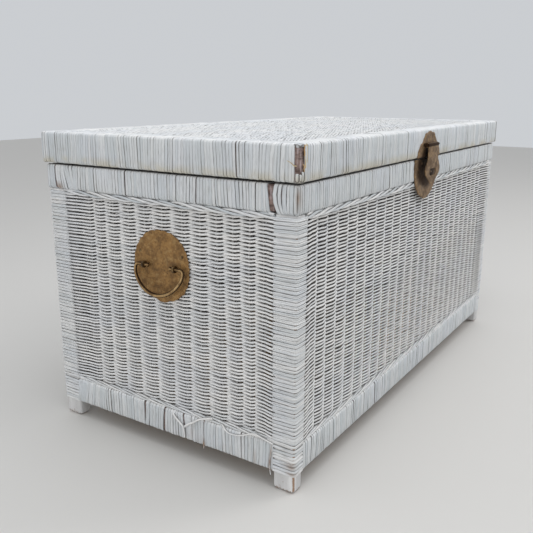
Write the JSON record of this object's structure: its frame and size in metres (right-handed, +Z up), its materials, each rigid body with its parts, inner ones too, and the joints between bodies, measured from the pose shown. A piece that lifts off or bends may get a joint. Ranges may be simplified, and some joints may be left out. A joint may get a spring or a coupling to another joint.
{
  "type": "wicker storage trunk",
  "caption": "Woven reed storage trunk on wooden posts and bound rails, with a hinged lid, a brass hasp and a drop bail handle at each end.",
  "frame": {"origin": "on the floor under the middle of the body, at the bottom of the feet", "axes": "+X along the trunk's length, -Y towards the front with the hasp, +Z up"},
  "size_m": [0.8772, 0.4676, 0.46],
  "materials": {
    "painted_wood": "worn matt off-white paint over brown wood",
    "painted_reed": "off-white paint on round and flat reed, grime in the gaps",
    "bare_wood": "unpainted, dry",
    "plywood": "thin unpainted board",
    "aged_brass": "brown aged patina, brighter where it is rubbed"
  },
  "bodies": {
    "trunk_body": {"post_front_left": "painted_wood", "post_front_right": "painted_wood", "post_rear_left": "painted_wood", "post_rear_right": "painted_wood", "corner_weave_front_left": "painted_reed", "corner_weave_front_right": "painted_reed", "corner_weave_rear_left": "painted_reed", "corner_weave_rear_right": "painted_reed", "top_rail_front": "painted_wood", "top_rail_rear": "painted_wood", "top_rail_left": "painted_wood", "top_rail_right": "painted_wood", "bottom_rail_front": "painted_wood", "bottom_rail_rear": "painted_wood", "bottom_rail_left": "painted_wood", "bottom_rail_right": "painted_wood", "top_rail_binding": "painted_reed", "bottom_rail_binding": "painted_reed", "weave_front": "painted_reed", "weave_rear": "painted_reed", "weave_left": "painted_reed", "weave_right": "painted_reed", "stakes_front": "painted_reed", "stakes_rear": "painted_reed", "stakes_left": "painted_reed", "stakes_right": "painted_reed", "base_board": "plywood", "base_ledgers": "bare_wood", "base_battens": "bare_wood", "handle_plate_left": "aged_brass", "handle_plate_right": "aged_brass", "handle_eyes_left": "aged_brass", "handle_eyes_right": "aged_brass", "handle_nails": "aged_brass", "hasp_lower_plate": "aged_brass", "hasp_staple": "aged_brass", "hasp_lower_nails": "aged_brass", "hinge_lower_leaf_left": "aged_brass", "hinge_lower_leaf_right": "aged_brass", "hinge_pin_left": "aged_brass", "hinge_pin_right": "aged_brass", "hinge_lower_screws": "aged_brass"},
    "lid": {"lid_rail_front": "painted_wood", "lid_rail_rear": "painted_wood", "lid_rail_left": "painted_wood", "lid_rail_right": "painted_wood", "lid_binding": "painted_reed", "lid_weave": "painted_reed", "lid_stakes": "painted_reed", "hasp_upper_plate": "aged_brass", "hasp_pin": "aged_brass", "hasp_upper_nails": "aged_brass", "hinge_upper_leaf_left": "aged_brass", "hinge_upper_leaf_right": "aged_brass", "hinge_upper_screws": "aged_brass"},
    "hasp": {"hasp_strap": "aged_brass"},
    "bail_left": {"bail_left": "aged_brass"},
    "bail_right": {"bail_right": "aged_brass"}
  },
  "joints": [
    {"name": "lid_hinge", "type": "hinge", "parent": "trunk_body", "child": "lid", "pos_m": [0, 0.2294, 0.413], "axis": [-1, 0, 0], "range_deg": [0, 105]},
    {"name": "hasp_hinge", "type": "hinge", "parent": "lid", "child": "hasp", "pos_m": [0, -0.2307, 0.434], "axis": [-1, 0, 0], "range_deg": [-7.5, 165]},
    {"name": "bail_left_swing", "type": "hinge", "parent": "trunk_body", "child": "bail_left", "pos_m": [-0.4276, 0, 0.282], "axis": [0, 1, 0], "range_deg": [0, 160]},
    {"name": "bail_right_swing", "type": "hinge", "parent": "trunk_body", "child": "bail_right", "pos_m": [0.4276, 0, 0.282], "axis": [0, -1, 0], "range_deg": [0, 160]}
  ]
}
